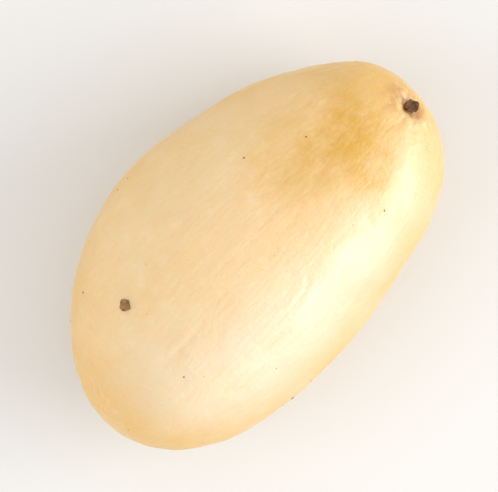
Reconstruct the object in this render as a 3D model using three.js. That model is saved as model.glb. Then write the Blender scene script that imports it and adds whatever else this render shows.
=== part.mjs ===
// A shelled pine nut kernel lying on its side, with a scrap of dark inner skin stuck in the scar at its tip.
// Millimetres, +Z up. The kernel rests on z = 0 and the origin is under the middle of its box.
// +X runs from the broad end to the tip, and +Y is the side that bulges further.

import * as THREE from 'three';

// Overall size of the kernel
const LENGTH = 11.5;
const WIDTH = 7.1;
const THICKNESS = 5.7;

// Long profile: a quarter ellipse behind the belly and one smooth curve from there to the blunt tip.
// Distances along are shares of the length from the broad end, and widths are shares of the half-width.
const BELLY = 0.446;
const TIP_SHOULDER = 0.626;
const TIP_FULLNESS = 0.81;

// The middle line bends sideways by BOW and is arched upwards by ARCH, both in millimetres
const BOW = 0.44;
const BOW_SKEW = 0.91;
const BOW_SHARPNESS = 1.25;
const ARCH = 0.16;

// Soft ridges (rise above 0) and flattened faces (rise below 0) round the section.
// Angles are in degrees, from +Y up over the back, rise is a share of the radius, and focus narrows a lobe.
const SECTION_LOBES = [
  { name: 'back ridge', angle: 119, rise: 0.055, focus: 10 },
  { name: 'broad upper face', angle: 62, rise: -0.05, focus: 4 },
  { name: 'steep flank', angle: 155, rise: -0.045, focus: 8 },
  { name: 'lower edge below the flank', angle: 206, rise: 0.03, focus: 7 },
  { name: 'lower edge on the bulging side', angle: 330, rise: 0.025, focus: 7 },
  { name: 'underside', angle: 274, rise: -0.055, focus: 4 },
];

// Uneven places: the share along and the angle of each middle, how far it swells out (or sinks in, below 0),
// and how far it reaches along and across, in millimetres
const SWELLS = [
  { name: 'square shoulder of the tip', along: 0.974, angle: 15, rise: 0.13, long: 1.05, wide: 1.03 },
  { name: 'straight side behind the shoulder', along: 0.665, angle: 14, rise: -0.1, long: 1.34, wide: 1.6 },
  { name: 'long hollow low on the bulging side', along: 0.5, angle: 340, rise: -0.1, long: 2.6, wide: 0.8 },
  { name: 'dent beside the ridge near the tip', along: 0.78, angle: 72, rise: -0.07, long: 1.3, wide: 0.9 },
  { name: 'dent under the broad end', along: 0.14, angle: 245, rise: -0.08, long: 1.2, wide: 1.1 },
  { name: 'swelling on the back of the broad end', along: 0.2, angle: 95, rise: 0.05, long: 1.4, wide: 1.3 },
];

// Round scar on the upper side of the tip: a shallow dish with a low rim
const SCAR_ALONG = 0.971;
const SCAR_ANGLE = 101;
const SCAR_RADIUS = 0.36;
const SCAR_DEPTH = 0.1;
const SCAR_RIM = 0.035;
const SCAR_RIM_BREADTH = 0.15;

// Flat spot that the kernel rests on: how much of the underside it takes away
const FLAT_SPOT_DEPTH = 0.19;

// Scrap of skin in the scar
const SCRAP_RADIUS = 0.22;
const SCRAP_THICKNESS = 0.08;
const SCRAP_CLEARANCE = 0.03;
const SCRAP_WAVES = [
  { count: 2, share: 0.36, start: -0.54 },
  { count: 3, share: 0.09, start: 2.1 },
  { count: 5, share: 0.06, start: 0.3 },
];

// Fineness of the meshes
const SIDES = 64;
const BELLY_RINGS = 15;
const TIP_RINGS = 24;
const SCRAP_SIDES = 26;
const SCRAP_RINGS = 4;

const QUARTER = Math.PI / 2;
const PROBE = 1e-4;
const HALVINGS = 40;

/** One coordinate of a cubic curve, from its four control values. */
function cubic(t, start, first, second, end) {
  const back = 1 - t;
  return back ** 3 * start + 3 * back ** 2 * t * first + 3 * back * t ** 2 * second + t ** 3 * end;
}

/** Gives how far along the kernel a turn from the broad end's pole (0) to the tip's pole (PI) lies, and its
 * half-width there, both as shares. */
function longProfile(turn) {
  if (turn <= QUARTER) {
    return { along: BELLY * (1 - Math.cos(turn)), half: Math.sin(turn) };
  }
  const t = turn / QUARTER - 1;
  return { along: cubic(t, BELLY, TIP_SHOULDER, 1, 1), half: cubic(t, 1, 1, TIP_FULLNESS, 0) };
}

/** Finds the turn at which the long profile is a given share along the kernel. */
function turnAt(along) {
  let low = 0;
  let high = Math.PI;
  for (let step = 0; step < HALVINGS; step += 1) {
    const middle = (low + high) / 2;
    if (longProfile(middle).along < along) {
      low = middle;
    } else {
      high = middle;
    }
  }
  return (low + high) / 2;
}

/** Section radius at an angle, as a share of a plain oval. The lobes fade out at both ends. */
function sectionRadius(angle, half) {
  let radius = 1;
  for (const lobe of SECTION_LOBES) {
    const nearness = Math.cos(angle - THREE.MathUtils.degToRad(lobe.angle)) - 1;
    radius += half * lobe.rise * Math.exp(lobe.focus * nearness);
  }
  return radius;
}

/** A point of the kernel before its scar and swells, around a middle line at z = 0. */
function plainPoint(turn, angle) {
  const { along, half } = longProfile(turn);
  const radius = half * sectionRadius(angle, half);
  const bend = Math.sin(Math.PI * along ** BOW_SKEW) ** BOW_SHARPNESS;
  return new THREE.Vector3(
    LENGTH * (along - 0.5),
    BOW * bend + (WIDTH / 2) * radius * Math.cos(angle),
    ARCH * Math.sin(Math.PI * along) + (THICKNESS / 2) * radius * Math.sin(angle),
  );
}

/** Outward direction of the plain surface. */
function plainNormal(turn, angle) {
  const inner = Math.min(Math.max(turn, 2 * PROBE), Math.PI - 2 * PROBE);
  const ahead = plainPoint(inner + PROBE, angle).sub(plainPoint(inner - PROBE, angle));
  const around = plainPoint(inner, angle + PROBE).sub(plainPoint(inner, angle - PROBE));
  return around.cross(ahead).normalize();
}

const scarTurn = turnAt(SCAR_ALONG);
const scarAngle = THREE.MathUtils.degToRad(SCAR_ANGLE);
const scarCentre = plainPoint(scarTurn, scarAngle);
const swellCentres = SWELLS.map((swell) => {
  const angle = THREE.MathUtils.degToRad(swell.angle);
  return plainPoint(turnAt(swell.along), angle);
});

/** How far the real surface stands above the plain one at a point, in millimetres. */
function relief(point) {
  const fromScar = point.distanceTo(scarCentre);
  let height = -SCAR_DEPTH * Math.exp(-((fromScar / SCAR_RADIUS) ** 4));
  height += SCAR_RIM * Math.exp(-(((fromScar - SCAR_RADIUS - SCAR_RIM_BREADTH) / SCAR_RIM_BREADTH) ** 2));
  SWELLS.forEach((swell, index) => {
    const offset = point.clone().sub(swellCentres[index]);
    const across = Math.hypot(offset.y, offset.z) / swell.wide;
    height += swell.rise * Math.exp(-((offset.x / swell.long) ** 2) - across ** 2);
  });
  return height;
}

/** A point of the finished surface, lifted off it by a given height. */
function surfacePoint(turn, angle, lift = 0) {
  const point = plainPoint(turn, angle);
  return point.addScaledVector(plainNormal(turn, angle), relief(point) + lift);
}

/** Builds an indexed geometry from points and triangles. */
function toGeometry(points, triangles) {
  const geometry = new THREE.BufferGeometry().setFromPoints(points);
  geometry.setIndex(triangles.flat());
  geometry.computeVertexNormals();
  return geometry;
}

/** Joins rings of points, each with `sides` points, into one skin of triangles. */
function skinRings(start, ringCount, sides) {
  const triangles = [];
  for (let ring = 0; ring < ringCount - 1; ring += 1) {
    for (let side = 0; side < sides; side += 1) {
      const next = (side + 1) % sides;
      const a = start + ring * sides + side;
      const b = start + ring * sides + next;
      triangles.push([a, b, b + sides], [a, b + sides, a + sides]);
    }
  }
  return triangles;
}

/** Joins one point to a closed ring as a fan. `outward` is true where the ring runs anticlockwise seen from
 * outside. */
function fan(centre, ringStart, sides, outward) {
  const triangles = [];
  for (let side = 0; side < sides; side += 1) {
    const a = ringStart + side;
    const b = ringStart + (side + 1) % sides;
    triangles.push(outward ? [centre, a, b] : [centre, b, a]);
  }
  return triangles;
}

/** Makes the kernel's closed skin, before it is brought to its exact box. */
function kernelPoints() {
  const turns = [];
  for (let ring = 1; ring <= BELLY_RINGS; ring += 1) {
    turns.push((QUARTER * ring) / BELLY_RINGS);
  }
  for (let ring = 1; ring < TIP_RINGS; ring += 1) {
    turns.push(QUARTER + (QUARTER * ring) / TIP_RINGS);
  }
  const points = [];
  for (const turn of turns) {
    for (let side = 0; side < SIDES; side += 1) {
      points.push(surfacePoint(turn, (2 * Math.PI * side) / SIDES));
    }
  }
  return { points, rings: turns.length };
}

/** Makes the kernel, and the fitting that brings any other piece to the same box. */
function makeKernel() {
  const { points, rings } = kernelPoints();
  const broadPole = points.length;
  points.push(surfacePoint(0, 0), surfacePoint(Math.PI, scarAngle));
  const triangles = [
    ...skinRings(0, rings, SIDES),
    ...fan(broadPole, 0, SIDES, false),
    ...fan(broadPole + 1, (rings - 1) * SIDES, SIDES, true),
  ];
  const raw = new THREE.Box3().setFromPoints(points);
  const floor = raw.min.z + FLAT_SPOT_DEPTH;
  const size = raw.getSize(new THREE.Vector3());
  const scale = new THREE.Vector3(LENGTH / size.x, WIDTH / size.y, THICKNESS / (size.z - FLAT_SPOT_DEPTH));
  const middle = raw.getCenter(new THREE.Vector3());
  const fit = (point) => point.set(
    (point.x - middle.x) * scale.x,
    (point.y - middle.y) * scale.y,
    Math.max(0, (point.z - floor) * scale.z),
  );
  points.forEach(fit);
  return { geometry: toGeometry(points, triangles), fit };
}

/** Makes the scrap of skin: a thin ragged disc that follows the dish of the scar. */
function makeScrap(fit) {
  const stepAhead = plainPoint(scarTurn + PROBE, scarAngle).distanceTo(scarCentre) / PROBE;
  const stepAround = plainPoint(scarTurn, scarAngle + PROBE).distanceTo(scarCentre) / PROBE;
  const at = (share, direction, lift) => {
    let reach = SCRAP_RADIUS * share;
    for (const wave of SCRAP_WAVES) {
      reach *= 1 + wave.share * share * Math.cos(wave.count * direction + wave.start);
    }
    const turn = scarTurn + (reach * Math.cos(direction)) / stepAhead;
    const angle = scarAngle + (reach * Math.sin(direction)) / stepAround;
    return surfacePoint(turn, angle, lift);
  };
  const points = [];
  const top = SCRAP_CLEARANCE + SCRAP_THICKNESS;
  for (const lift of [SCRAP_CLEARANCE, top]) {
    for (let ring = 1; ring <= SCRAP_RINGS; ring += 1) {
      const share = lift === top ? (SCRAP_RINGS + 1 - ring) / SCRAP_RINGS : ring / SCRAP_RINGS;
      for (let side = 0; side < SCRAP_SIDES; side += 1) {
        points.push(at(share, (-2 * Math.PI * side) / SCRAP_SIDES, lift));
      }
    }
  }
  const underside = points.length;
  points.push(at(0, 0, SCRAP_CLEARANCE), at(0, 0, top));
  const lastRing = (2 * SCRAP_RINGS - 1) * SCRAP_SIDES;
  const triangles = [
    ...skinRings(0, 2 * SCRAP_RINGS, SCRAP_SIDES),
    ...fan(underside, 0, SCRAP_SIDES, false),
    ...fan(underside + 1, lastRing, SCRAP_SIDES, true),
  ];
  points.forEach(fit);
  return toGeometry(points, triangles);
}

const flesh = new THREE.MeshStandardMaterial({ color: 0xf6d6a4, roughness: 0.4, metalness: 0 });
const darkSkin = new THREE.MeshStandardMaterial({ color: 0x6b4a22, roughness: 0.75, metalness: 0 });

const { geometry: kernelGeometry, fit } = makeKernel();
const kernel = new THREE.Mesh(kernelGeometry, flesh);
kernel.name = 'kernel';

const scrap = new THREE.Mesh(makeScrap(fit), darkSkin);
scrap.name = 'skin_scrap';

const group = new THREE.Group();
group.add(kernel, scrap);

export default group;
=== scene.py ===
"""Looks of a shelled pine nut kernel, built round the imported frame.

The kernel lies on its side with its tip towards +X. Lengths in the classes are in millimetres, and each piece
comes out in metres. Angles written as numbers are in degrees, apart from the two directions on the scrap.
Those two, and all angles that a tree works out, are in radians. The kernel's surface follows the same rule as
the CAD solid, at a finer step and with fine relief. Every piece of the object is grown by a geometry tree.
Trees of both kinds are written as Python expressions.
"""

import logging
import math
from collections.abc import Callable, Sequence
from dataclasses import dataclass
from enum import Enum

import bpy
from mathutils import Matrix, Vector


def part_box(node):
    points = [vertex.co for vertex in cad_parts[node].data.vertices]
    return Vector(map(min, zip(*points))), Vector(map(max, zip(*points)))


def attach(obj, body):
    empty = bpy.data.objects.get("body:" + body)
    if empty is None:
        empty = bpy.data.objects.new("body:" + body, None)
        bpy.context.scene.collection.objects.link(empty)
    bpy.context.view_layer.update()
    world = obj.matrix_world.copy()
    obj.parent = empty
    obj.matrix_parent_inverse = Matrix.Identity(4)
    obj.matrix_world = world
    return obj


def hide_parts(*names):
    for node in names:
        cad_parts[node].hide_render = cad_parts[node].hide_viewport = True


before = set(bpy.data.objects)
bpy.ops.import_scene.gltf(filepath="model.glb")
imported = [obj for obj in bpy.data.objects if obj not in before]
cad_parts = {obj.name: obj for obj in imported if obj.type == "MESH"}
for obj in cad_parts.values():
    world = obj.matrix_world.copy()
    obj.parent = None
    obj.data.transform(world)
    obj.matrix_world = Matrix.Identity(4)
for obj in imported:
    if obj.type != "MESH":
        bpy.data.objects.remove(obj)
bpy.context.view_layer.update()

LOG = logging.getLogger("pine_nut")
MM = 0.001
QUARTER = math.pi / 2
BODY = "root"
# name of the stored depth in creases, which the flesh darkens as painted shade
CREASE_SHADE = "crease"
HEIGHT = "height"

# the screen's gamma curve
FULL_CHANNEL = 255
GAMMA = 2.4
GAMMA_OFFSET = 0.055
DARK_END = 0.04045
DARK_SLOPE = 12.92

Colour = tuple[float, float, float, float]
Triple = tuple[float, float, float]


def srgb(red: int, green: int, blue: int) -> Colour:
    """Turns a screen colour into the linear colour that a shader takes.

    Args:
        red: Red, from 0 to 255.
        green: Green, from 0 to 255.
        blue: Blue, from 0 to 255.

    Returns:
        Linear red, green and blue, and an alpha of 1.
    """

    def linear(channel: int) -> float:
        """Undoes the screen's gamma.

        Args:
            channel: One channel, from 0 to 255.

        Returns:
            Its linear share.
        """
        share = channel / FULL_CHANNEL
        if share <= DARK_END:
            return share / DARK_SLOPE
        return ((share + GAMMA_OFFSET) / (1 + GAMMA_OFFSET)) ** GAMMA

    return linear(red), linear(green), linear(blue), 1.0


def new_object(name: str, data: bpy.types.ID) -> bpy.types.Object:
    """Makes an object and links it to the scene.

    Args:
        name: Its name.
        data: Its mesh, lamp or camera.

    Returns:
        The object.
    """
    made = bpy.data.objects.new(name, data)
    bpy.context.scene.collection.objects.link(made)
    return made


class Signal:
    """An output of a node. One that holds a number can be used in a Python expression."""

    def __init__(self, tree: "Tree", socket: bpy.types.NodeSocket | None) -> None:
        """Wraps an output socket of a tree's node."""
        self.tree = tree
        self.socket = socket

    def __add__(self, other: "Number") -> "Signal":
        """Sum."""
        return self.tree.maths("ADD", self, other)

    __radd__ = __add__

    def __sub__(self, other: "Number") -> "Signal":
        """Difference."""
        return self.tree.maths("SUBTRACT", self, other)

    def __rsub__(self, other: "Number") -> "Signal":
        """Difference from a number."""
        return self.tree.maths("SUBTRACT", other, self)

    def __mul__(self, other: "Number") -> "Signal":
        """Product."""
        return self.tree.maths("MULTIPLY", self, other)

    __rmul__ = __mul__

    def __truediv__(self, other: "Number") -> "Signal":
        """Quotient."""
        return self.tree.maths("DIVIDE", self, other)

    def __pow__(self, other: "Number") -> "Signal":
        """Power."""
        return self.tree.maths("POWER", self, other)

    def __neg__(self) -> "Signal":
        """The same with its sign turned."""
        return self * -1.0

    def __abs__(self) -> "Signal":
        """The same without its sign."""
        return self.tree.maths("ABSOLUTE", self)

    def clamped(self) -> "Signal":
        """The same, kept between 0 and 1."""
        return self.tree.add("ShaderNodeClamp", {}, {"Value": self})

    def beside(self, output: str) -> "Signal":
        """Another output of the same node."""
        return Signal(self.tree, self.socket.node.outputs[output])

    def as_arrow(self) -> "Arrow":
        """The same output, as a place or a direction."""
        return Arrow(self.tree, self.socket)


Number = Signal | float


class Arrow(Signal):
    """An output that holds a place, a direction or a size along each axis."""

    def __add__(self, other: "Arrow | Triple") -> "Arrow":
        """Sum."""
        return self.tree.arrow("ADD", self, other)

    def __sub__(self, other: "Arrow | Triple") -> "Arrow":
        """Difference."""
        return self.tree.arrow("SUBTRACT", self, other)

    def __mul__(self, other: "Arrow | Triple | Number") -> "Arrow":
        """Product.

        Args:
            other: A direction, for a product axis by axis, or one number.

        Returns:
            The product.
        """
        if isinstance(other, (Arrow, tuple)):
            return self.tree.arrow("MULTIPLY", self, other)
        return self.tree.scaled(self, other)

    def __truediv__(self, other: "Arrow | Triple") -> "Arrow":
        """Quotient, axis by axis."""
        return self.tree.arrow("DIVIDE", self, other)

    def at_least(self, other: Triple) -> "Arrow":
        """The same, with each axis no lower than a number."""
        return self.tree.arrow("MAXIMUM", self, other)

    def length(self) -> Signal:
        """Its length."""
        return self.tree.add("ShaderNodeVectorMath", {"operation": "LENGTH"}, {0: self}, "Value")

    def along(self, slope: Triple) -> Signal:
        """How far it reaches along a slope."""
        settings = {"operation": "DOT_PRODUCT"}
        return self.tree.add("ShaderNodeVectorMath", settings, {0: self, 1: slope}, "Value")

    def parts(self) -> tuple[Signal, Signal, Signal]:
        """Its x, y and z."""
        x = self.tree.add("ShaderNodeSeparateXYZ", {}, {0: self}, "X")
        return x, x.beside("Y"), x.beside("Z")


@dataclass(frozen=True)
class Fade:
    """A smooth rise from a base at one value to a top at another."""

    start: float
    end: float
    top: float = 1.0
    base: float = 0.0


@dataclass(frozen=True)
class Grain:
    """Soft noise: cells to a millimetre, finer layers and their strength, and a stretch of each axis."""

    scale: float
    detail: float = 2.0
    roughness: float = 0.5
    stretch: Triple | None = None


class Tree:
    """A node tree that is written as Python expressions."""

    def __init__(self, tree: bpy.types.NodeTree) -> None:
        """Takes an empty node tree."""
        self.tree = tree

    def add(self, kind: str, settings: dict[str, object], inputs: dict[str | int, object],
            output: str | int = 0) -> Signal:
        """Adds a node.

        Args:
            kind: The node's type.
            settings: Its properties, set first.
            inputs: Values or signals for its sockets, by name or number.
            output: Which output to give back.

        Returns:
            The output, as a signal.
        """
        node = self.tree.nodes.new(kind)
        for key, value in settings.items():
            setattr(node, key, value)
        for key, value in inputs.items():
            if isinstance(value, Signal):
                self.tree.links.new(value.socket, node.inputs[key])
            else:
                node.inputs[key].default_value = value
        return Signal(self, node.outputs[output] if len(node.outputs) else None)

    def maths(self, operation: str, *values: Number) -> Signal:
        """Works out one sum on numbers."""
        return self.add("ShaderNodeMath", {"operation": operation}, dict(enumerate(values)))

    def arrow(self, operation: str, first: Arrow | Triple, second: Arrow | Triple) -> Arrow:
        """Works out one sum on places or directions."""
        return self.add("ShaderNodeVectorMath", {"operation": operation}, {0: first, 1: second}).as_arrow()

    def scaled(self, direction: Arrow | Triple, amount: Number) -> Arrow:
        """A direction made longer or shorter."""
        inputs = {0: direction, "Scale": amount}
        return self.add("ShaderNodeVectorMath", {"operation": "SCALE"}, inputs).as_arrow()

    def joined(self, x: Number, y: Number, z: Number) -> Arrow:
        """The place with this x, y and z."""
        return self.add("ShaderNodeCombineXYZ", {}, {"X": x, "Y": y, "Z": z}).as_arrow()

    def step(self, value: Signal, fade: Fade) -> Signal:
        """Rises smoothly from the fade's base to its top."""
        ends = {"From Min": fade.start, "From Max": fade.end, "To Min": fade.base, "To Max": fade.top}
        return self.add("ShaderNodeMapRange", {"interpolation_type": "SMOOTHSTEP"}, {"Value": value, **ends})

    def noise(self, place: Arrow, grain: Grain, settings: dict[str, object] | None = None,
              inputs: dict[str, object] | None = None) -> Signal:
        """Soft noise about 0.5.

        Args:
            place: Where it is read, in millimetres.
            grain: Its cells and finer layers.
            settings: Other properties of its node.
            inputs: Other values for its node.

        Returns:
            The noise.
        """
        where = place if grain.stretch is None else place * grain.stretch
        layers = {"Vector": where, "Scale": grain.scale, "Detail": grain.detail, "Roughness": grain.roughness}
        return self.add("ShaderNodeTexNoise", settings or {}, layers | (inputs or {}), "Fac")


class Shader(Tree):
    """The node tree of one material."""

    def __init__(self, name: str) -> None:
        """Starts an empty tree in a new material.

        Args:
            name: The material's name.
        """
        self.material = bpy.data.materials.new(name)
        self.material.use_nodes = True
        super().__init__(self.material.node_tree)
        self.tree.nodes.clear()

    def place(self) -> Arrow:
        """Object coordinates in millimetres."""
        return self.scaled(self.add("ShaderNodeTexCoord", {}, {}, "Object").as_arrow(), 1 / MM)

    def cells(self, place: Arrow, scale: float) -> Signal:
        """Distance to the nearest of scattered points, in cells."""
        return self.add("ShaderNodeTexVoronoi", {}, {"Vector": place, "Scale": scale}, "Distance")

    def nearness(self, place: Arrow, centre: Triple, radii: Triple) -> Signal:
        """1 at the centre of an ellipsoid, falling to 0 at its skin and beyond."""
        return self.step(((place - centre) / radii).length(), Fade(1.0, 0.0))

    def blend(self, share: Number, first: Signal | Colour, second: Signal | Colour) -> Signal:
        """Mixes two colours.

        Args:
            share: Share of the second, from 0 to 1.
            first: One colour.
            second: The other.

        Returns:
            The mixture.
        """
        # sockets 6 and 7 and output 2 are those of the node's colours
        settings = {"data_type": "RGBA", "clamp_factor": True}
        return self.add("ShaderNodeMix", settings, {0: share, 6: first, 7: second}, 2)

    def attribute(self, name: str) -> Signal:
        """A value stored on the mesh's points."""
        return self.add("ShaderNodeAttribute", {"attribute_name": name}, {}, "Fac")

    def bump(self, height: Signal, distance: float, strength: float, below: Signal | None = None) -> Signal:
        """Tilts the surface as a relief would.

        Args:
            height: The relief, from 0 to 1.
            distance: Its full height, in millimetres.
            strength: Its share, from 0 to 1.
            below: The tilt that it is laid over.

        Returns:
            The tilt, for a shader's normal.
        """
        inputs = {"Height": height, "Distance": distance * MM, "Strength": strength}
        if below is not None:
            inputs["Normal"] = below
        return self.add("ShaderNodeBump", {}, inputs)

    def finish(self, inputs: dict[str | int, object]) -> bpy.types.Material:
        """Ends the tree in one surface shader.

        Args:
            inputs: Values or signals for the shader's sockets.

        Returns:
            The material.
        """
        surface = self.add("ShaderNodeBsdfPrincipled", {}, inputs)
        self.add("ShaderNodeOutputMaterial", {}, {"Surface": surface})
        return self.material


class Growth(Tree):
    """A geometry tree with named inputs that grows one piece."""

    SEED = "Seed"
    SOCKETS = {
        float: "NodeSocketFloat",
        int: "NodeSocketInt",
        tuple: "NodeSocketVector",
        bpy.types.Object: "NodeSocketObject",
    }

    def __init__(self, name: str, seed: int, sizes: dict[Enum, object]) -> None:
        """Starts an empty tree.

        Args:
            name: The piece's name.
            seed: Fixes everything random.
            sizes: The value of each other named input.
        """
        super().__init__(bpy.data.node_groups.new(name, "GeometryNodeTree"))
        self.name = name
        self.values = {self.SEED: seed} | {key.value: value for key, value in sizes.items()}
        for label, value in self.values.items():
            self.tree.interface.new_socket(label, in_out="INPUT", socket_type=self.SOCKETS[type(value)])
        self.tree.interface.new_socket("Geometry", in_out="OUTPUT", socket_type="NodeSocketGeometry")
        self.seed = self.add("NodeGroupInput", {}, {}, self.SEED)
        self.draws = 0

    def given(self, size: Enum) -> Signal:
        """The value of a named input."""
        return self.seed.beside(size.value)

    def position(self) -> Arrow:
        """Where each point is at that stage."""
        return self.add("GeometryNodeInputPosition", {}, {}).as_arrow()

    def uneven(self, place: Arrow, grain: Grain) -> Signal:
        """Seeded noise about 0, another one at each call.

        Args:
            place: Where it is read, in millimetres or on a disc's rim.
            grain: Its cells and finer layers.

        Returns:
            The noise, about 1 either way at most.
        """
        self.draws += 1
        settings = {"noise_dimensions": "4D", "normalize": False}
        return self.noise(place, grain, settings, {"W": self.seed + self.draws})

    def chance(self, draw: int) -> Signal:
        """A random number from 0 to 1 for each point, another one for each draw."""
        # output 1 is the node's plain number
        return self.add("FunctionNodeRandomValue", {"data_type": "FLOAT"}, {"Seed": self.seed + draw}, 1)

    def together(self, *pieces: Signal) -> Signal:
        """Several geometries as one.

        Args:
            pieces: The geometries.

        Returns:
            All of them.
        """
        whole = self.add("GeometryNodeJoinGeometry", {}, {})
        for piece in pieces:
            self.tree.links.new(piece.socket, whole.socket.node.inputs[0])
        return whole

    def stored(self, geometry: Signal, name: str, value: Signal) -> Signal:
        """The geometry with a value stored on its points."""
        inputs = {"Geometry": geometry, "Name": name, "Value": value}
        return self.add("GeometryNodeStoreNamedAttribute", {}, inputs)

    def moved(self, geometry: Signal, position: Arrow) -> Signal:
        """The geometry with its points at new places."""
        return self.add("GeometryNodeSetPosition", {}, {"Geometry": geometry, "Position": position})

    def on_points(self, points: Signal, shape: Signal, turn: Signal, size: Signal) -> Signal:
        """The shape on each point, turned and sized."""
        inputs = {"Points": points, "Instance": shape, "Rotation": turn, "Scale": size}
        return self.add("GeometryNodeInstanceOnPoints", {}, inputs)

    def shape_of(self, piece: Enum) -> Signal:
        """The mesh of a piece that a named input holds."""
        return self.add("GeometryNodeObjectInfo", {}, {"Object": self.given(piece)}, "Geometry")

    def grow(self, geometry: Signal, material: bpy.types.Material) -> bpy.types.Object:
        """Ends the tree, runs it and makes its result a plain piece.

        Args:
            geometry: What the tree has made, in metres.
            material: The piece's material.

        Returns:
            The piece, linked to the scene.
        """
        real = self.add("GeometryNodeRealizeInstances", {}, {0: geometry})
        soft = self.add("GeometryNodeSetShadeSmooth", {}, {"Geometry": real})
        dressed = self.add("GeometryNodeSetMaterial", {}, {"Geometry": soft, "Material": material})
        self.add("NodeGroupOutput", {}, {0: dressed})
        carrier = new_object(f"{self.name}_carrier", bpy.data.meshes.new(f"{self.name}_carrier"))
        modifier = carrier.modifiers.new(self.name, "NODES")
        modifier.node_group = self.tree
        for item in self.tree.interface.items_tree:
            if item.name in self.values:
                value = self.values[item.name]
                modifier[item.identifier] = list(value) if isinstance(value, tuple) else value
        graph = bpy.context.evaluated_depsgraph_get()
        mesh = bpy.data.meshes.new_from_object(carrier.evaluated_get(graph), depsgraph=graph)
        bpy.data.objects.remove(carrier)
        return new_object(self.name, mesh)


def work_out(operation: str, plainly: Callable[..., float], *values: Number) -> Number:
    """Works out a function: by a node where a value is a signal, and at once where all are numbers.

    Args:
        operation: The function's name as a node.
        plainly: The same function for numbers.
        values: What it is worked out on.

    Returns:
        Its value.
    """
    for value in values:
        if isinstance(value, Signal):
            return value.tree.maths(operation, *values)
    return plainly(*values)


def sine(angle: Number) -> Number:
    """Sine of an angle in radians."""
    return work_out("SINE", math.sin, angle)


def cosine(angle: Number) -> Number:
    """Cosine of an angle in radians."""
    return work_out("COSINE", math.cos, angle)


def exponential(value: Number) -> Number:
    """e to the power of a value."""
    return work_out("EXPONENT", math.exp, value)


def smaller(first: Number, second: Number) -> Number:
    """The smaller of two values."""
    return work_out("MINIMUM", min, first, second)


def larger(first: Number, second: Number) -> Number:
    """The larger of two values."""
    return work_out("MAXIMUM", max, first, second)


def cubic(t: Number, start: float, first: float, second: float, end: float) -> Number:
    """One coordinate of a cubic curve at t, from its four control values."""
    back = 1 - t
    return back**3 * start + back**2 * t * (3 * first) + back * t**2 * (3 * second) + t**3 * end


@dataclass(frozen=True)
class Lobe:
    """A soft ridge (rise above 0) or flattened face (below 0) that runs along the kernel."""

    angle: float
    rise: float
    focus: float

    def height(self, angle: Number) -> Number:
        """Its height at an angle round the kernel, in radians."""
        return self.rise * exponential(self.focus * (cosine(angle - math.radians(self.angle)) - 1))


@dataclass(frozen=True)
class Swell:
    """A place where the surface swells out (rise above 0) or sinks in (below 0)."""

    along: float
    angle: float
    rise: float
    long: float
    wide: float


@dataclass(frozen=True)
class Scar:
    """The round scar on the upper side of the tip: a shallow dish with a low rim."""

    along: float = 0.971
    angle: float = 101
    radius: float = 0.36
    depth: float = 0.1
    flatness: float = 4
    rim: float = 0.035
    rim_breadth: float = 0.15

    def relief(self, distance: Signal) -> Signal:
        """Height of the dish and its rim.

        Args:
            distance: Distance from the scar's middle, in millimetres.

        Returns:
            The height above the plain surface.
        """
        edge = (distance - self.radius - self.rim_breadth) / self.rim_breadth
        dish = exponential(-((distance / self.radius) ** self.flatness))
        return self.rim * exponential(-(edge**2)) - self.depth * dish


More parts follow.
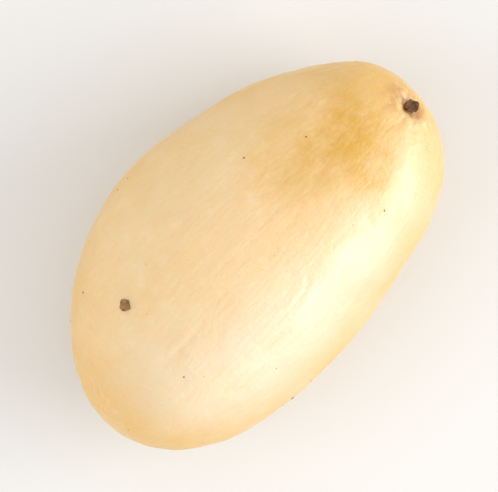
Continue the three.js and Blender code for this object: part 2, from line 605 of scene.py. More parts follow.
@dataclass(frozen=True)
class Form:
    """The rule that the kernel's surface follows: a long profile, a section and uneven places."""

    length: float
    width: float
    thickness: float
    belly: float = 0.446
    tip_shoulder: float = 0.626
    tip_fullness: float = 0.81
    bow: float = 0.44
    bow_skew: float = 0.91
    bow_sharpness: float = 1.25
    arch: float = 0.16
    flat_spot_depth: float = 0.19
    halvings: int = 40
    probe: float = 0.002
    scar: Scar = Scar()
    lobes: tuple[Lobe, ...] = (
        Lobe(angle=119, rise=0.055, focus=10),
        Lobe(angle=62, rise=-0.05, focus=4),
        Lobe(angle=155, rise=-0.045, focus=8),
        Lobe(angle=206, rise=0.03, focus=7),
        Lobe(angle=330, rise=0.025, focus=7),
        Lobe(angle=274, rise=-0.055, focus=4),
    )
    swells: tuple[Swell, ...] = (
        Swell(along=0.974, angle=15, rise=0.13, long=1.05, wide=1.03),
        Swell(along=0.665, angle=14, rise=-0.1, long=1.34, wide=1.6),
        Swell(along=0.5, angle=340, rise=-0.1, long=2.6, wide=0.8),
        Swell(along=0.78, angle=72, rise=-0.07, long=1.3, wide=0.9),
        Swell(along=0.14, angle=245, rise=-0.08, long=1.2, wide=1.1),
        Swell(along=0.2, angle=95, rise=0.05, long=1.4, wide=1.3),
    )

    @classmethod
    def of_node(cls, node: str) -> "Form":
        """Takes the overall size from a CAD node's box.

        Args:
            node: The node's name.

        Returns:
            The form at that size.
        """
        low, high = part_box(node)
        size = (high - low) / MM
        return cls(length=size.x, width=size.y, thickness=size.z)

    def profile(self, turn: Number) -> tuple[Number, Number]:
        """The long profile.

        Args:
            turn: Angle in radians from the broad end's pole, 0, to the tip's, pi.

        Returns:
            Share along the kernel and share of the half-width.
        """
        behind = smaller(turn, QUARTER)
        t = larger(turn - QUARTER, 0.0) / QUARTER
        rest = 1 - self.belly
        along = self.belly * (1 - cosine(behind)) + cubic(t, 0.0, self.tip_shoulder - self.belly, rest, rest)
        half = sine(behind) + cubic(t, 0.0, 0.0, self.tip_fullness - 1, -1.0)
        return along, half

    def turn_at(self, along: float) -> float:
        """The turn at which the long profile reaches a place, found by halving.

        Args:
            along: Share along the kernel.

        Returns:
            The turn.
        """
        low, high = 0.0, math.pi
        for _ in range(self.halvings):
            middle = (low + high) / 2
            if self.profile(middle)[0] < along:
                low = middle
            else:
                high = middle
        return low

    def plain(self, turn: Number, angle: Number) -> tuple[Number, Number, Number]:
        """A point of the surface before its scar and swells, round a middle line at z = 0.

        Args:
            turn: Angle in radians from the broad end's pole to the tip's.
            angle: Angle in radians round the kernel, from +Y towards +Z.

        Returns:
            Its x, y and z.
        """
        along, half = self.profile(turn)
        lobes = sum(lobe.height(angle) for lobe in self.lobes)
        radius = half * (1 + half * lobes)
        share = smaller(larger(along, 0.0), 1.0)
        bend = larger(sine(math.pi * share**self.bow_skew), 0.0) ** self.bow_sharpness
        x = self.length * (along - 0.5)
        y = self.bow * bend + self.width / 2 * radius * cosine(angle)
        z = self.arch * sine(math.pi * along) + self.thickness / 2 * radius * sine(angle)
        return x, y, z

    def place(self, along: float, angle: float) -> Triple:
        """The plain point at a share along and an angle in degrees."""
        return self.plain(self.turn_at(along), math.radians(angle))

    @property
    def scar_centre(self) -> Triple:
        """Middle of the scar on the plain surface."""
        return self.place(self.scar.along, self.scar.angle)

    def scar_axes(self) -> tuple[Vector, Vector, Vector]:
        """Directions at the scar.

        Returns:
            Towards the tip, aside and straight out.
        """
        turn = self.turn_at(self.scar.along)
        angle = math.radians(self.scar.angle)
        ahead = Vector(self.plain(turn + self.probe, angle)) - Vector(self.plain(turn - self.probe, angle))
        around = Vector(self.plain(turn, angle + self.probe)) - Vector(self.plain(turn, angle - self.probe))
        out = around.cross(ahead).normalized()
        ahead.normalize()
        return ahead, out.cross(ahead), out

    def relief(self, point: Arrow) -> Signal:
        """Height of the scar and the swells above the plain surface.

        Args:
            point: A point of the plain surface.

        Returns:
            The height, in millimetres.
        """
        height = self.scar.relief((point - self.scar_centre).length())
        for swell in self.swells:
            offset = (point - self.place(swell.along, swell.angle)) / (swell.long, swell.wide, swell.wide)
            height = height + swell.rise * exponential(-(offset.length() ** 2))
        return height


@dataclass(frozen=True)
class Station:
    """Where each point of the kernel's surface is, by the form's rule."""

    form: Form
    turn: Signal
    angle: Signal
    along: Signal
    half: Signal
    point: Arrow

    @classmethod
    def on_sphere(cls, tree: Growth, form: Form) -> "Station":
        """Reads turn and angle off a sphere whose +Z pole becomes the kernel's tip.

        Args:
            tree: The kernel's tree, at the stage where its mesh is a sphere.
            form: The rule that the surface follows.

        Returns:
            The stations of all points.
        """
        place = tree.position()
        x, y, z = place.parts()
        turn = tree.maths("ARCTAN2", (place * (1.0, 1.0, 0.0)).length(), -z)
        angle = tree.maths("ARCTAN2", y, x)
        along, half = form.profile(turn)
        return cls(form, turn, angle, along, half, tree.joined(*form.plain(turn, angle)))

    def unrolled(self, forward: Signal, radius: float) -> Arrow:
        """A place on a straight tube of a radius, so that a pattern runs evenly round the kernel."""
        return self.point.tree.joined(forward, radius * cosine(self.angle), radius * sine(self.angle))


class KernelSize(Enum):
    """Names of the sizes that the kernel's tree takes, in millimetres."""

    BOX = "Box"
    FLAT_SPOT = "Depth of the flat spot"
    LUMPS = "Lumps"
    RIPPLES = "Ripples"
    WRINKLES = "Wrinkles"
    END_WRINKLES = "Wrinkles at the ends"
    FOLDS = "Folds at the broad end"
    DENTS = "Dents"
    PUCKERS = "Puckers round the scar"
    CRUMBS = "Crumbs round the scar"


@dataclass(frozen=True)
class FineRelief:
    """What the eye sees on the surface close up: lumps, wrinkles, folds, dents and puckers round the scar."""

    seed: int = 71
    lumps: float = 0.05
    lump_grain: Grain = Grain(0.53, 1.0, 0.4)
    ripples: float = 0.011
    ripple_grain: Grain = Grain(1.0, 0.0, stretch=(1.25, 2.0, 2.0))
    wrinkles: float = 0.029
    end_wrinkles: float = 0.012
    wrinkle_grain: Grain = Grain(1.0, 1.0, stretch=(0.38, 3.3, 3.3))
    wrinkle_radius: float = 2.6
    wrinkle_wander: float = 0.9
    wrinkle_patches: Grain = Grain(0.7, 0.0)
    patch_fade: Fade = Fade(-0.2, 0.5)
    end_fade: Fade = Fade(0.8, 0.35)
    pole_fade: Fade = Fade(0.08, 0.5)
    folds: float = 0.03
    fold_grain: Grain = Grain(1.0, 1.0, stretch=(2.8, 0.67, 0.67))
    fold_radius: float = 2.2
    fold_arc: float = 1.2
    fold_angle: float = 60
    fold_focus: float = 2.5
    fold_end: Fade = Fade(0.34, 0.1)
    fold_start: Fade = Fade(0.0, 0.03)
    dents: float = 0.02
    dent_grain: Grain = Grain(2.2, 0.0)
    dent_fade: Fade = Fade(0.3, 0.75)
    puckers: float = 0.03
    pucker_count: int = 11
    pucker_lean: float = 0.6
    pucker_shape: float = 0.7
    pucker_level: float = 0.6
    pucker_bend: float = 0.9
    bend_grain: Grain = Grain(2.0, 0.0)
    pucker_start: Fade = Fade(0.35, 0.5)
    pucker_end: Fade = Fade(1.7, 0.5)
    crumbs: float = 0.045
    crumb_grain: Grain = Grain(6.2, 0.0)
    crumb_fade: Fade = Fade(0.75, 0.29)
    # how deep creases must be for full painted shade, and the share of a dent's depth that counts towards it
    crease_depth: float = 0.042
    dent_shade_share: float = 0.3

    def sizes(self) -> dict[Enum, object]:
        """Collects the heights that the tree takes.

        Returns:
            The height for each named input.
        """
        return {
            KernelSize.LUMPS: self.lumps,
            KernelSize.RIPPLES: self.ripples,
            KernelSize.WRINKLES: self.wrinkles,
            KernelSize.END_WRINKLES: self.end_wrinkles,
            KernelSize.FOLDS: self.folds,
            KernelSize.DENTS: self.dents,
            KernelSize.PUCKERS: self.puckers,
            KernelSize.CRUMBS: self.crumbs,
        }

    def lump_height(self, tree: Growth, at: Station) -> Signal:
        """Broad soft unevenness with low ripples."""
        broad = tree.uneven(at.point, self.lump_grain) * tree.given(KernelSize.LUMPS)
        return broad + tree.uneven(at.point, self.ripple_grain) * tree.given(KernelSize.RIPPLES)

    def wrinkle_height(self, tree: Growth, at: Station) -> Signal:
        """Fine wrinkles that run lengthwise in loose groups and grow stronger towards both ends.

        Args:
            tree: The kernel's tree.
            at: The stations of its points.

        Returns:
            The height, in millimetres.
        """
        drift = tree.uneven(at.point, self.wrinkle_patches)
        patches = tree.step(drift, self.patch_fade)
        tube = at.unrolled(at.point.parts()[0], self.wrinkle_radius)
        lines = tree.uneven(tube + tree.joined(0.0, self.wrinkle_wander * drift, 0.0), self.wrinkle_grain)
        ends = tree.step(at.half, self.end_fade) * tree.given(KernelSize.END_WRINKLES)
        return lines * tree.step(at.half, self.pole_fade) * patches * (tree.given(KernelSize.WRINKLES) + ends)

    def fold_height(self, tree: Growth, at: Station) -> Signal:
        """Fine folds that run round the broad end, on the side that bulges.

        Args:
            tree: The kernel's tree.
            at: The stations of its points.

        Returns:
            The height, in millimetres.
        """
        arc = at.turn * (self.fold_arc * at.form.length / math.pi)
        lines = tree.uneven(at.unrolled(arc, self.fold_radius), self.fold_grain)
        side = exponential(self.fold_focus * (cosine(at.angle - math.radians(self.fold_angle)) - 1))
        reach = tree.step(at.along, self.fold_end) * tree.step(at.along, self.fold_start)
        return lines * side * reach * tree.given(KernelSize.FOLDS)

    def dent_height(self, tree: Growth, at: Station) -> Signal:
        """Small shallow dents scattered over the surface."""
        dents = tree.step(tree.uneven(at.point, self.dent_grain), self.dent_fade)
        return -dents * tree.given(KernelSize.DENTS)

    def tip_height(self, tree: Growth, at: Station) -> Signal:
        """Puckers that run out from the scar, and the crumbly edge round it.

        Args:
            tree: The kernel's tree.
            at: The stations of its points.

        Returns:
            The height, in millimetres.
        """
        offset = at.point - at.form.scar_centre
        distance = offset.length()
        x, y, z = offset.parts()
        direction = tree.maths("ARCTAN2", y, z - self.pucker_lean * x)
        bend = self.pucker_bend * tree.uneven(at.point, self.bend_grain)
        waves = abs(sine(self.pucker_count / 2 * direction + bend)) ** self.pucker_shape - self.pucker_level
        window = tree.step(distance, self.pucker_start) * tree.step(distance, self.pucker_end)
        crumbs = tree.uneven(at.point, self.crumb_grain) * tree.step(distance, self.crumb_fade)
        return waves * window * tree.given(KernelSize.PUCKERS) + crumbs * tree.given(KernelSize.CRUMBS)

    def heights(self, tree: Growth, at: Station) -> tuple[Signal, Signal]:
        """All the fine relief.

        Args:
            tree: The kernel's tree.
            at: The stations of its points.

        Returns:
            Its height, and how deep in creases and dents each point lies, from 0 to 1, which sets the painted
            shade in them.
        """
        lines = self.wrinkle_height(tree, at) + self.fold_height(tree, at) + self.tip_height(tree, at)
        dents = self.dent_height(tree, at)
        # depth in creases and dents, which the flesh darkens as painted shade
        crease = -(lines + dents * self.dent_shade_share) / self.crease_depth
        return lines + dents + self.lump_height(tree, at), crease.clamped()


@dataclass(frozen=True)
class Disc:
    """A round slab, and where its points are: share of its radius, direction, and height from 0 to 1."""

    mesh: Signal
    share: Signal
    direction: Signal
    height: Signal

    @classmethod
    def of(cls, tree: Growth, sides: int, rings: int) -> "Disc":
        """Makes the slab.

        Args:
            tree: The tree that it is a part of.
            sides: How many sides its rim has.
            rings: How many rings each face has.

        Returns:
            The slab.
        """
        net = {"Vertices": sides, "Fill Segments": rings, "Radius": 1.0, "Depth": 1.0}
        mesh = tree.add("GeometryNodeMeshCylinder", {"fill_type": "TRIANGLE_FAN"}, net)
        x, y, z = tree.position().parts()
        return cls(mesh, tree.joined(x, y, 0.0).length(), tree.maths("ARCTAN2", y, x), z + 0.5)

    def rim(self) -> Arrow:
        """Each point's direction as a place on a circle of radius 1, where noise for the outline is read."""
        return self.share.tree.joined(cosine(self.direction), sine(self.direction), 0.0)


@dataclass(frozen=True)
class Kernel:
    """The kernel itself, as one fine closed skin grown from a sphere."""

    form: Form
    fine: FineRelief = FineRelief()
    sides: int = 300
    rings: int = 320

    def fitted(self, tree: Growth, geometry: Signal) -> Signal:
        """Brings the skin into the CAD node's box with its flat spot at z = 0, and to metres.

        Args:
            tree: The kernel's tree.
            geometry: The skin, in millimetres.

        Returns:
            The skin, in metres and in its place.
        """
        place = tree.position()
        settings, inputs = {"data_type": "FLOAT_VECTOR"}, {0: geometry, "Attribute": place}
        low = tree.add("GeometryNodeAttributeStatistic", settings, inputs, "Min").as_arrow()
        high = low.beside("Max").as_arrow()
        cut = tree.joined(0.0, 0.0, tree.given(KernelSize.FLAT_SPOT))
        scale = tree.given(KernelSize.BOX).as_arrow() / (high - low - cut)
        # the foot is under the middle of the skin's box, at the height of the flat spot
        foot = low * (0.5, 0.5, 1.0) + high * (0.5, 0.5, 0.0) + cut
        # no x or y is as low as this, so only z is held back
        lowest = -self.form.length
        above_floor = ((place - foot) * scale).at_least((lowest, lowest, 0.0))
        return tree.moved(geometry, above_floor * MM)

    def build(self, material: bpy.types.Material) -> bpy.types.Object:
        """Grows the skin, with the depth of its creases stored on its points for the painted shade in them.

        Args:
            material: The finish of the flesh.

        Returns:
            The piece.
        """
        box = (self.form.length, self.form.width, self.form.thickness)
        sizes = {KernelSize.BOX: box, KernelSize.FLAT_SPOT: self.form.flat_spot_depth} | self.fine.sizes()
        tree = Growth("kernel_skin", self.fine.seed, sizes)
        net = {"Segments": self.sides, "Rings": self.rings, "Radius": 1.0}
        sphere = tree.add("GeometryNodeMeshUVSphere", {}, net)
        at = Station.on_sphere(tree, self.form)
        height, crease = self.fine.heights(tree, at)
        known = tree.stored(sphere, CREASE_SHADE, crease)
        known = tree.stored(known, HEIGHT, height + self.form.relief(at.point))
        plain = tree.moved(known, at.point)
        lift = tree.add("GeometryNodeInputNamedAttribute", {"data_type": "FLOAT"}, {"Name": HEIGHT})
        normal = tree.add("GeometryNodeInputNormal", {}, {}).as_arrow()
        raised = tree.add("GeometryNodeSetPosition", {}, {"Geometry": plain, "Offset": normal * lift})
        cleaned = tree.add("GeometryNodeRemoveAttribute", {}, {"Geometry": raised, "Name": HEIGHT})
        return tree.grow(self.fitted(tree, cleaned), material)


class ScrapSize(Enum):
    """Names of what the scrap's tree takes, with lengths in millimetres."""

    SKIN = "Kernel skin"
    PLACE = "Place"
    RADIUS = "Radius"
    THICKNESS = "Thickness"
    CLEARANCE = "Clearance"
    CURL = "Curl"
    CRINKLES = "Crinkles"


@dataclass(frozen=True)
class SkinScrap:
    """The scrap of skin in the scar: a thin ragged disc that follows the skin and curls up at one end."""

    form: Form
    skin: bpy.types.Object
    place: Triple
    radius: float = 0.227
    oval: float = 0.3
    oval_direction: float = -0.27
    thickness: float = 0.06
    clearance: float = 0.02
    curl: float = 0.05
    curl_direction: float = -2.4
    curl_power: float = 3.0
    ragged: float = 0.2
    ragged_grain: Grain = Grain(0.9, 3.0, 0.7)
    crinkles: float = 0.014
    crinkle_grain: Grain = Grain(7.7, 0.0)
    drop: float = 1.0
    sides: int = 120
    rings: int = 16
    seed: int = 13

    def reach(self, tree: Growth, disc: Disc) -> Signal:
        """How far from the middle each point lies: an oval with a ragged outline.

        Args:
            tree: The scrap's tree.
            disc: The slab that it is made of.

        Returns:
            The distance, in millimetres.
        """
        # an ellipse with half-axes 1 + oval and 1 - oval, and how far its edge is past a circle of radius 1
        turned = disc.direction - self.oval_direction
        narrow, wide = (1 - self.oval) * cosine(turned), (1 + self.oval) * sine(turned)
        oval = (narrow**2 + wide**2) ** -0.5 * (1 - self.oval**2) - 1
        outline = oval + self.ragged * tree.uneven(disc.rim(), self.ragged_grain)
        return tree.given(ScrapSize.RADIUS) * disc.share * (1 + outline * disc.share)

    def lift(self, tree: Growth, disc: Disc, place: Arrow) -> Signal:
        """How far each point is raised off the skin: its clearance, layer, curl and crinkles.

        Args:
            tree: The scrap's tree.
            disc: The slab that it is made of.
            place: Where each point is over the skin.

        Returns:
            The height, in millimetres.
        """
        curled = larger(cosine(disc.direction - self.curl_direction), 0.0)
        curl = tree.given(ScrapSize.CURL) * disc.share**self.curl_power * curled
        crinkles = tree.given(ScrapSize.CRINKLES) * (1 + tree.uneven(place, self.crinkle_grain))
        layer = tree.given(ScrapSize.THICKNESS) * disc.height
        return tree.given(ScrapSize.CLEARANCE) + layer + curl + crinkles

    def build(self, material: bpy.types.Material) -> bpy.types.Object:
        """Grows the scrap as one closed piece.

        Args:
            material: Its finish.

        Returns:
            The piece.
        """
        tree = Growth("tip_skin_scrap", self.seed, {
            ScrapSize.SKIN: self.skin,
            ScrapSize.PLACE: self.place,
            ScrapSize.RADIUS: self.radius,
            ScrapSize.THICKNESS: self.thickness,
            ScrapSize.CLEARANCE: self.clearance,
            ScrapSize.CURL: self.curl,
            ScrapSize.CRINKLES: self.crinkles,
        })
        disc = Disc.of(tree, self.sides, self.rings)
        reach = self.reach(tree, disc)
        ahead, aside, out = [tuple(axis) for axis in self.form.scar_axes()]
        forward, sideways = reach * cosine(disc.direction), reach * sine(disc.direction)
        spread = tree.scaled(ahead, forward) + tree.scaled(aside, sideways)
        above = tree.given(ScrapSize.PLACE).as_arrow() + spread + tuple(self.drop * part for part in out)
        landed = tree.add("GeometryNodeRaycast", {}, {
            "Target Geometry": tree.shape_of(ScrapSize.SKIN),
            "Source Position": above * MM,
            "Ray Direction": tuple(-part for part in out),
            "Ray Length": 2 * self.drop * MM,
        }, "Hit Position").as_arrow()
        raised = tree.scaled(out, self.lift(tree, disc, above) * MM)
        return tree.grow(tree.moved(disc.mesh, landed + raised), material)


class SpeckSize(Enum):
    """Names of what the specks' tree takes, with lengths in metres."""

    SKIN = "Kernel skin"
    COUNT = "Specks a square metre"
    SMALLEST = "Smallest share"
    LOWEST = "Lowest height"
    LARGE_PLACE = "Place of the large speck"
    LARGE_SHARE = "Size of the large speck"
    RADIUS = "Radius"
    THICKNESS = "Thickness"


@dataclass(frozen=True)
class SkinSpecks:
    """Tiny flakes of dark skin that cling to the kernel: one large flake and a random scatter."""

    skin: bpy.types.Object
    density: float = 0.13
    radius: float = 0.067
    thickness: float = 0.016
    smallest: float = 0.25
    rarity: float = 3.0
    lowest: float = 0.5
    large_place: Triple = (-3.18, 1.31, 4.9)
    large_share: float = 2.3
    ragged: float = 0.6
    ragged_grain: Grain = Grain(1.4, 0.0)
    narrowing: float = 0.1
    dome: float = 0.3
    sides: int = 14
    rings: int = 2
    seed: int = 24

    def flake(self, tree: Growth) -> Signal:
        """One ragged flake, narrower and domed on top, lying in its own XY plane.

        Args:
            tree: The specks' tree.

        Returns:
            The flake, half of it below the plane.
        """
        disc = Disc.of(tree, self.sides, self.rings)
        outline = 1 + self.ragged * tree.uneven(disc.rim(), self.ragged_grain) - self.narrowing * disc.height
        reach = tree.given(SpeckSize.RADIUS) * outline * disc.share
        layer = 2 * disc.height - 1 + 2 * self.dome * disc.height * (1 - disc.share**2)
        height = tree.given(SpeckSize.THICKNESS) * layer
        place = tree.joined(reach * cosine(disc.direction), reach * sine(disc.direction), height)
        return tree.moved(disc.mesh, place)

    def scatter(self, tree: Growth, skin: Signal, flake: Signal) -> Signal:
        """Small flakes at random places and turns, most of them near the smallest size.

        Args:
            tree: The specks' tree.
            skin: The kernel's mesh.
            flake: The flake that is repeated.

        Returns:
            The flakes, as instances.
        """
        above = tree.maths("GREATER_THAN", tree.position().parts()[2], tree.given(SpeckSize.LOWEST))
        points = tree.add("GeometryNodeDistributePointsOnFaces", {"distribute_method": "RANDOM"}, {
            "Mesh": skin, "Selection": above, "Density": tree.given(SpeckSize.COUNT), "Seed": tree.seed,
        })
        smallest = tree.given(SpeckSize.SMALLEST)
        size = smallest + (1 - smallest) * tree.chance(0) ** self.rarity
        turned = tree.add("FunctionNodeAxisAngleToRotation", {}, {
            "Axis": (0, 0, 1), "Angle": tree.chance(1) * math.tau,
        })
        facing = tree.add("FunctionNodeRotateRotation", {"rotation_space": "LOCAL"}, {
            "Rotation": points.beside("Rotation"), "Rotate By": turned,
        })
        return tree.on_points(points, flake, facing, size)

    def large(self, tree: Growth, skin: Signal, flake: Signal) -> Signal:
        """The one large flake, on the skin nearest to its place.

        Args:
            tree: The specks' tree.
            skin: The kernel's mesh.
            flake: The flake that is enlarged.

        Returns:
            The flake, as an instance.
        """
        near = tree.given(SpeckSize.LARGE_PLACE)
        facing = tree.add("GeometryNodeSampleNearestSurface", {"data_type": "FLOAT_VECTOR"}, {
            "Mesh": skin, "Value": tree.add("GeometryNodeInputNormal", {}, {}), "Sample Position": near,
        })
        seat = tree.add("GeometryNodeProximity", {"target_element": "FACES"}, {
            0: skin, "Sample Position": near,
        })
        point = tree.add("GeometryNodePoints", {}, {"Count": 1, "Position": seat})
        upright = tree.add("FunctionNodeAlignRotationToVector", {"axis": "Z"}, {"Vector": facing})
        return tree.on_points(point, flake, upright, tree.given(SpeckSize.LARGE_SHARE))

    def build(self, material: bpy.types.Material) -> bpy.types.Object:
        """Grows all the flakes as one plain piece.

        Args:
            material: Their finish.

        Returns:
            The piece.
        """
        tree = Growth("skin_specks", self.seed, {
            SpeckSize.SKIN: self.skin,
            SpeckSize.COUNT: self.density / MM**2,
            SpeckSize.SMALLEST: self.smallest,
            SpeckSize.LOWEST: self.lowest * MM,
            SpeckSize.LARGE_PLACE: tuple(part * MM for part in self.large_place),
            SpeckSize.LARGE_SHARE: self.large_share,
            SpeckSize.RADIUS: self.radius * MM,
            SpeckSize.THICKNESS: self.thickness * MM,
        })
        skin = tree.shape_of(SpeckSize.SKIN)
        flake = self.flake(tree)
        flakes = tree.together(self.scatter(tree, skin, flake), self.large(tree, skin, flake))
        return tree.grow(flakes, material)


@dataclass(frozen=True)
class Spot:
    """A soft round spot of colour near the top of the kernel, in millimetres in the part's frame."""

    place: Triple
    reach: float
    strength: float
    depth: float = 3.0


@dataclass(frozen=True)
class Veil:
    """A share of colour: a fade along a slope, whose border wanders with noise."""

    fade: Fade
    grain: Grain
    wander: float = 1.0
    slope: Triple = (0.0, 0.0, 0.0)

    def over(self, shader: Shader, place: Arrow) -> Signal:
        """The share at each place."""
        return shader.step(place.along(self.slope) + shader.noise(place, self.grain) * self.wander, self.fade)


@dataclass(frozen=True)
class Tooth:
    """Unevenness too fine for the mesh, which only tilts the surface: height in millimetres and strength."""

    height: float
    strength: float
    grain: Grain


@dataclass(frozen=True)
class FleshFinish:
    """Oily ivory flesh, amber towards the tip, with faint mottling, fibres and pores. Its colour also holds
    painted light: a painted highlight on the flank that faces the lamps, and golden painted shade on the low
    sides, at the broad end, at the tip's rim and in creases.
    """

    ivory: Colour = srgb(240, 211, 161)
    straw: Colour = srgb(238, 202, 145)
    pale: Colour = srgb(244, 224, 186)
    # painted highlight: a paler cream laid on the flank that faces the key and sheen lamps
    painted_flank_highlight: Colour = srgb(236, 219, 186)
    # painted shade: a deeper golden tone that stands in for shade and warm reflected light
    golden_shade: Colour = srgb(231, 186, 98)
    amber: Colour = srgb(221, 174, 70)
    # painted shade: the darker tone laid in creases, wrinkles and dents
    crease: Colour = srgb(222, 168, 98)
    stain: Colour = srgb(190, 128, 68)
    pore: Colour = srgb(206, 150, 98)
    mottle: Veil = Veil(Fade(0.38, 0.7, 0.6), Grain(0.55, 3.0, 0.55))
    clouds: Veil = Veil(Fade(0.5, 0.74, 0.4), Grain(1.9, 4.0, 0.6))
    # painted highlight: share of the paler cream, rising towards the -Y flank that faces the lamps
    flank_highlight_veil: Veil = Veil(Fade(0.9, -1.4, 0.9), Grain(0.6, 3.0), 1.6, (0.3, 1.0, 0.0))
    # painted shade: golden on the low sides and at the broad end, less where the kernel faces the floor
    low_side_shade: Veil = Veil(Fade(5.9, 3.5, 0.85), Grain(0.5, 4.0, 0.6), 1.8, (0.0, 0.0, 1.0))
    broad_end_shade: Veil = Veil(Fade(-2.95, -5.55, 0.85), Grain(1.1, 3.0), 1.2, (1.0, 0.0, 0.0))
    off_floor: Veil = Veil(Fade(-0.9, 2.0, base=0.2), Grain(0.5, 4.0, 0.6), -1.8, (0.0, 0.0, 1.0))
    threads: Veil = Veil(Fade(0.52, 0.72, 0.35), Grain(1.5, 3.0, stretch=(0.22, 2.4, 2.4)))
    # golden rim on the +y side of the tip: partly its own amber, partly painted shade
    tip_rim_tint_and_shade: Veil = Veil(Fade(4.85, 5.85), Grain(2.0, 3.0), 0.8, (1.0, 0.0, 0.0))
    rim_side: Fade = Fade(-1.0, 0.2)
    amber_spots: tuple[Spot, ...] = (
        Spot((3.95, -0.5, 4.4), reach=1.9, strength=0.75),
        Spot((2.45, 0.4, 4.9), reach=2.2, strength=0.75),
        Spot((4.5, 0.9, 4.2), reach=1.9, strength=0.6),
        Spot((3.3, -1.6, 4.4), reach=1.3, strength=0.5),
    )
    amber_border: Veil = Veil(Fade(-3.95, -3.2), Grain(1.5, 3.0), 0.5, (-0.6, 1.0, 0.0))
    amber_streaks: Veil = Veil(Fade(0.3, 0.7, 1.1, base=0.5), Grain(1.7, 4.0, 0.6))
    crease_shade_fade: Fade = Fade(0.22, 0.9, 0.6)
    stain_shift: float = 0.2
    stain_reach: float = 1.0
    stain_patches: Veil = Veil(Fade(0.3, 0.6, 0.8), Grain(4.0, 3.0))
    pore_scale: float = 3.4
    pore_fade: Fade = Fade(0.12, 0.05, 0.35)
    pore_patches: Veil = Veil(Fade(0.5, 0.6), Grain(0.9))
    smoothest: float = 0.34
    rough_patches: Grain = Grain(1.6, 3.0)
    patch_roughness: float = 0.16
    rough_grain: Grain = Grain(9.0)
    grain_roughness: float = 0.12
    oil: Veil = Veil(Fade(0.3, 0.7, 0.98, base=0.08), Grain(0.7))
    dry_amber: float = 0.7
    oil_roughness: float = 0.36
    oil_ior: float = 1.46
    ior: float = 1.47
    specular: float = 0.8
    see_through: float = 0.6
    see_through_depth: float = 1.1
    see_through_colours: Triple = (1.0, 0.52, 0.24)
    teeth: tuple[Tooth, ...] = (
        Tooth(0.07, 0.5, Grain(3.2, 4.0, stretch=(0.3, 2.2, 2.2))),
        Tooth(0.045, 0.6, Grain(7.5, 5.0, 0.62)),
    )
    cell_height: float = 0.012
    cell_strength: float = 0.5
    cell_scale: float = 11.0

    def patch(self, shader: Shader, place: Arrow) -> Signal:
        """How amber each place is, from the spots, which end at a slanting line below the scar.

        Args:
            shader: The flesh's tree.
            place: Object coordinates in millimetres.

        Returns:
            The share of amber, above 1 where spots overlap.
        """
        spots = sum(
            shader.nearness(place, spot.place, (spot.reach, spot.reach, spot.depth)) * spot.strength
            for spot in self.amber_spots
        )
        return spots * self.amber_border.over(shader, place)

    def painted_gold_shade(self, shader: Shader, place: Arrow) -> Signal:
        """How much golden painted shade each place takes: low on the sides and at the broad end, but hardly
        where it faces down.
        """
        neither = (1 - self.low_side_shade.over(shader, place)) * (1 - self.broad_end_shade.over(shader, place))
        return (1 - neither) * self.off_floor.over(shader, place)

    def colour(self, shader: Shader, place: Arrow, patch: Signal, scar: Triple) -> Signal:
        """Lays the colours over each other, from the ivory ground to the pores.

        Args:
            shader: The flesh's tree.
            place: Object coordinates in millimetres.
            patch: How amber each place is.
            scar: Middle of the scar in millimetres, in the part's frame.

        Returns:
            The colour.
        """
        amber = (patch * self.amber_streaks.over(shader, place)).clamped()
        # golden rim at the tip, partly painted shade
        rim = self.tip_rim_tint_and_shade.over(shader, place) * shader.step(place.parts()[1], self.rim_side)
        stained = (scar[0], scar[1] + self.stain_shift, scar[2])
        near_scar = shader.nearness(place, stained, (self.stain_reach,) * 3)
        pores = shader.step(shader.cells(place, self.pore_scale), self.pore_fade)
        layers = (
            (self.mottle.over(shader, place), self.straw),
            (self.clouds.over(shader, place), self.pale),
            # painted highlight on the flank that faces the lamps
            (self.flank_highlight_veil.over(shader, place), self.painted_flank_highlight),
            # painted shade, golden, on the low sides and at the broad end
            (self.painted_gold_shade(shader, place), self.golden_shade),
            (self.threads.over(shader, place), self.straw),
            (amber, self.amber),
            # tip's rim: partly its own amber, partly painted shade
            (rim, self.golden_shade),
            # painted shade in creases, wrinkles and dents
            (shader.step(shader.attribute(CREASE_SHADE), self.crease_shade_fade), self.crease),
            (near_scar * self.stain_patches.over(shader, place), self.stain),
            (pores * self.pore_patches.over(shader, place), self.pore),
        )
        colour = self.ivory
        for share, layer in layers:
            colour = shader.blend(share, colour, layer)
        return colour

    def tooth(self, shader: Shader, place: Arrow) -> Signal:
        """Fine skin: lengthwise fibres, grain and a pattern of cells.

        Args:
            shader: The flesh's tree.
            place: Object coordinates in millimetres.

        Returns:
            The tilt, for the shader's normal.
        """
        base = None
        for tooth in self.teeth:
            base = shader.bump(shader.noise(place, tooth.grain), tooth.height, tooth.strength, base)
        return shader.bump(shader.cells(place, self.cell_scale), self.cell_height, self.cell_strength, base)

    def build(self, scar: Triple) -> bpy.types.Material:
        """Makes the material.

        Args:
            scar: Middle of the scar in millimetres, in the part's frame.

        Returns:
            The material.
        """
        shader = Shader("flesh")
        place = shader.place()
        patch = self.patch(shader, place)
        rough = shader.noise(place, self.rough_patches) * self.patch_roughness
        rough = rough + shader.noise(place, self.rough_grain) * self.grain_roughness + self.smoothest
        return shader.finish({
            "Base Color": self.colour(shader, place, patch, scar),
            "Roughness": rough,
            "IOR": self.ior,
            "Specular IOR Level": self.specular,
            "Subsurface Weight": self.see_through,
            "Subsurface Radius": self.see_through_colours,
            "Subsurface Scale": self.see_through_depth * MM,
            "Coat Weight": self.oil.over(shader, place) * (1 - patch.clamped() * self.dry_amber),
            "Coat Roughness": self.oil_roughness,
            "Coat IOR": self.oil_ior,
            "Normal": self.tooth(shader, place),
        })


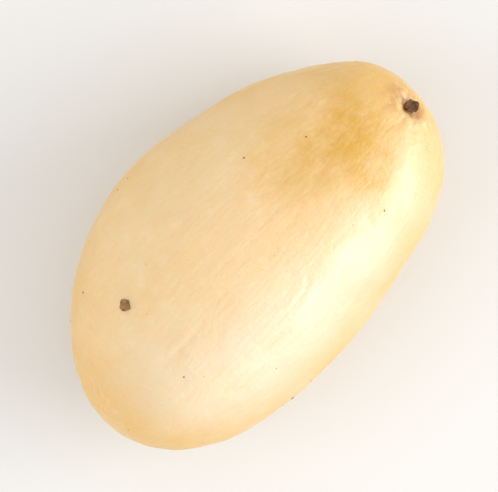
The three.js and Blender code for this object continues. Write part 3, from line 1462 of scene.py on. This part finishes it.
@dataclass(frozen=True)
class SkinFinish:
    """Dead inner skin: brown, dry and fibrous."""

    name: str = "dark_skin"
    brown: Colour = srgb(112, 76, 30)
    dark: Colour = srgb(62, 40, 14)
    edge: Colour = srgb(154, 110, 50)
    smoothest: float = 0.55
    patches: Veil = Veil(Fade(0.35, 0.65), Grain(5.0, 4.0))
    worn: Veil = Veil(Fade(0.55, 0.75, 0.5), Grain(14.0, 3.0))
    rough_grain: Grain = Grain(9.0, 3.0)
    grain_roughness: float = 0.3
    fibres: Tooth = Tooth(0.03, 0.8, Grain(6.0, 5.0, 0.65, (1.0, 3.0, 3.0)))
    ior: float = 1.45
    specular: float = 0.35
    see_through: float = 0.1
    see_through_depth: float = 0.1

    def build(self) -> bpy.types.Material:
        """Makes the material.

        Returns:
            The material.
        """
        shader = Shader(self.name)
        place = shader.place()
        colour = shader.blend(self.patches.over(shader, place), self.dark, self.brown)
        fibres = shader.noise(place, self.fibres.grain)
        return shader.finish({
            "Base Color": shader.blend(self.worn.over(shader, place), colour, self.edge),
            "Roughness": shader.noise(place, self.rough_grain) * self.grain_roughness + self.smoothest,
            "IOR": self.ior,
            "Specular IOR Level": self.specular,
            "Subsurface Weight": self.see_through,
            "Subsurface Scale": self.see_through_depth * MM,
            "Normal": shader.bump(fibres, self.fibres.height, self.fibres.strength),
        })


THIN_SKIN = SkinFinish(
    name="thin_skin",
    brown=srgb(168, 130, 84),
    dark=srgb(122, 88, 52),
    edge=srgb(196, 160, 112),
    smoothest=0.45,
)


class LampShows(Enum):
    """What a lamp's light shows up in."""

    COLOUR = "matt colour only"
    SHEEN = "sheen only"


@dataclass(frozen=True)
class Lamp:
    """An oblong lamp that faces the kernel, its long side level."""

    name: str
    place: Triple
    long: float
    short: float
    watts: float
    shows: LampShows

    def hang(self, aim_height: float) -> None:
        """Hangs the lamp.

        Args:
            aim_height: Height that it faces over the origin.
        """
        data = bpy.data.lights.new(self.name, "AREA")
        data.shape = "RECTANGLE"
        data.size = self.long * MM
        data.size_y = self.short * MM
        data.energy = self.watts
        lamp = new_object(self.name, data)
        lamp.visible_diffuse = self.shows is LampShows.COLOUR
        lamp.visible_glossy = self.shows is LampShows.SHEEN
        start = Vector(self.place) * MM
        aim = Vector((0, 0, aim_height * MM)) - start
        lamp.matrix_world = Matrix.Translation(start) @ aim.to_track_quat("-Z", "Y").to_matrix().to_4x4()


@dataclass(frozen=True)
class Studio:
    """Pale floor, soft light and the camera, straight above the kernel as in the photograph."""

    kernel_thickness: float
    tip_direction: float = 47.6
    lens: float = 300.0
    sensor: float = 36.0
    frame_width: float = 12.6
    clip_start: float = 0.1
    clip_end: float = 20.0
    floor_reach: float = 400.0
    floor_gap: float = 0.01
    floor_colour: Colour = (0.8, 0.8, 0.8, 1.0)
    floor_roughness: float = 0.9
    floor_specular: float = 0.1
    surround: Colour = (1.0, 0.975, 0.94, 1.0)
    surround_strength: float = 0.815
    lamps: tuple[Lamp, ...] = (
        Lamp("key", (71, -92, 62), long=110, short=60, watts=0.108, shows=LampShows.COLOUR),
        Lamp("sheen", (64, -116, 36), long=240, short=66, watts=0.29, shows=LampShows.SHEEN),
        Lamp("high_sheen", (10, -70, 125), long=150, short=90, watts=0.02, shows=LampShows.SHEEN),
        Lamp("fill", (-100, 50, 90), long=120, short=90, watts=0.05, shows=LampShows.COLOUR),
    )

    def camera(self) -> None:
        """Puts the camera above the kernel, turned so that the tip points up and to the right."""
        data = bpy.data.cameras.new("camera")
        data.lens = self.lens
        data.sensor_width = self.sensor
        distance = (self.frame_width * self.lens / self.sensor + self.kernel_thickness / 2) * MM
        data.clip_start = distance * self.clip_start
        data.clip_end = distance * self.clip_end
        camera = new_object("camera", data)
        camera.location = (0, 0, distance)
        camera.rotation_euler = (0, 0, -math.radians(self.tip_direction))
        bpy.context.scene.camera = camera

    def floor(self) -> None:
        """Lays the pale floor, just under the kernel."""
        reach = self.floor_reach * MM
        height = -self.floor_gap * MM
        corners = [(x * reach, y * reach, height) for x, y in ((-1, -1), (1, -1), (1, 1), (-1, 1))]
        mesh = bpy.data.meshes.new("floor")
        mesh.from_pydata(corners, [], [(0, 1, 2, 3)])
        mesh.materials.append(Shader("floor").finish({
            "Base Color": self.floor_colour,
            "Roughness": self.floor_roughness,
            "Specular IOR Level": self.floor_specular,
        }))
        new_object("floor", mesh)

    def light(self) -> None:
        """Lights the kernel softly from its flatter side, with a pale surround."""
        world = bpy.data.worlds.new("surround")
        world.use_nodes = True
        background = world.node_tree.nodes["Background"]
        background.inputs["Color"].default_value = self.surround
        background.inputs["Strength"].default_value = self.surround_strength
        bpy.context.scene.world = world
        for lamp in self.lamps:
            lamp.hang(self.kernel_thickness / 2)

    def view(self) -> None:
        """Shows colours as they are, so that the floor stays near white as in the photograph."""
        bpy.context.scene.view_settings.view_transform = "Standard"
        bpy.context.scene.view_settings.look = "None"
        bpy.context.scene.view_settings.exposure = 0.0

    def build(self) -> None:
        """Sets everything up."""
        self.view()
        self.camera()
        self.floor()
        self.light()


def middle_of(node: str) -> Triple:
    """Middle of a CAD node's box, in millimetres."""
    low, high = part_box(node)
    return tuple((low + high) / (2 * MM))


def settle(piece: bpy.types.Object, slot: str, *nodes: str) -> None:
    """Ties a finished piece to the frame and reports it.

    Args:
        piece: The piece.
        slot: The record's material slot that it takes its finish from. Not used.
        nodes: The CAD nodes that it stands for.
    """
    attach(piece, BODY)
    if nodes:
        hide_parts(*nodes)
    LOG.info("%s: %d faces", piece.name, len(piece.data.polygons))


def main() -> None:
    """Builds the studio and the pieces in order."""
    logging.basicConfig(level=logging.INFO, format="%(name)s %(message)s")
    form = Form.of_node("kernel")
    scar = middle_of("skin_scrap")
    Studio(form.thickness).build()
    skin = Kernel(form).build(FleshFinish().build(scar))
    settle(skin, "flesh", "kernel")
    scrap = SkinScrap(form, skin, scar).build(SkinFinish().build())
    settle(scrap, "dark_skin", "skin_scrap")
    settle(SkinSpecks(skin).build(THIN_SKIN.build()), "dark_skin")


if __name__ == "__main__":
    main()
